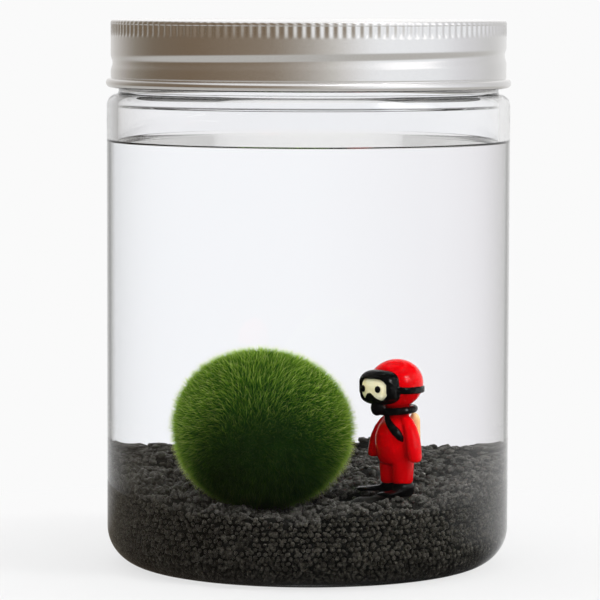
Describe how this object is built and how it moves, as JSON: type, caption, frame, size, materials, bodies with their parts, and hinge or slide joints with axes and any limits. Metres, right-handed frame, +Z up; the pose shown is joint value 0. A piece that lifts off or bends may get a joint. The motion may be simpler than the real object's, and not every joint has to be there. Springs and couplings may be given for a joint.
{
  "type": "marimo moss ball in a jar",
  "caption": "Round moss ball in a water-filled glass jar with a screw lid, on a bed of dark gravel beside a small glass diver figure.",
  "frame": {"origin": "middle of the jar's foot ring, on the surface that the jar stands on", "axes": "+Z up along the jar's axis, -Y to the front of the jar, +X to its right"},
  "size_m": [0.1004, 0.1004, 0.1353],
  "materials": {
    "clear_glass": "polished",
    "spun_aluminium": "satin",
    "white_liner": "matte",
    "water": "polished",
    "dark_gravel": "matte",
    "moss_green": "matte",
    "red_glass": "gloss",
    "black_glass": "gloss",
    "cream_glass": "gloss",
    "amber_glass": "gloss"
  },
  "bodies": {
    "jar_body": {"jar": "clear_glass", "water": "water", "gravel": "dark_gravel", "moss_ball": "moss_green", "diver_suit": "red_glass", "diver_mask": "black_glass", "diver_face": "cream_glass", "diver_hose": "black_glass", "diver_tank": "amber_glass", "diver_fin_near": "black_glass", "diver_fin_far": "black_glass"},
    "liner_body": {"lid_liner": "white_liner"},
    "lid_body": {"lid": "spun_aluminium"}
  },
  "joints": [
    {"name": "lid_lift", "type": "slide", "parent": "jar_body", "child": "liner_body", "axis": [0, 0, 1], "range_m": [0, 0.00494]},
    {"name": "lid_turn", "type": "hinge", "parent": "liner_body", "child": "lid_body", "pos_m": [0, 0, 0.12], "axis": [0, 0, 1], "range_deg": [0, 420]}
  ],
  "couplings": [
    {"joint": "lid_lift", "follows": "lid_turn", "m_per_rad": 0.00067375}
  ]
}
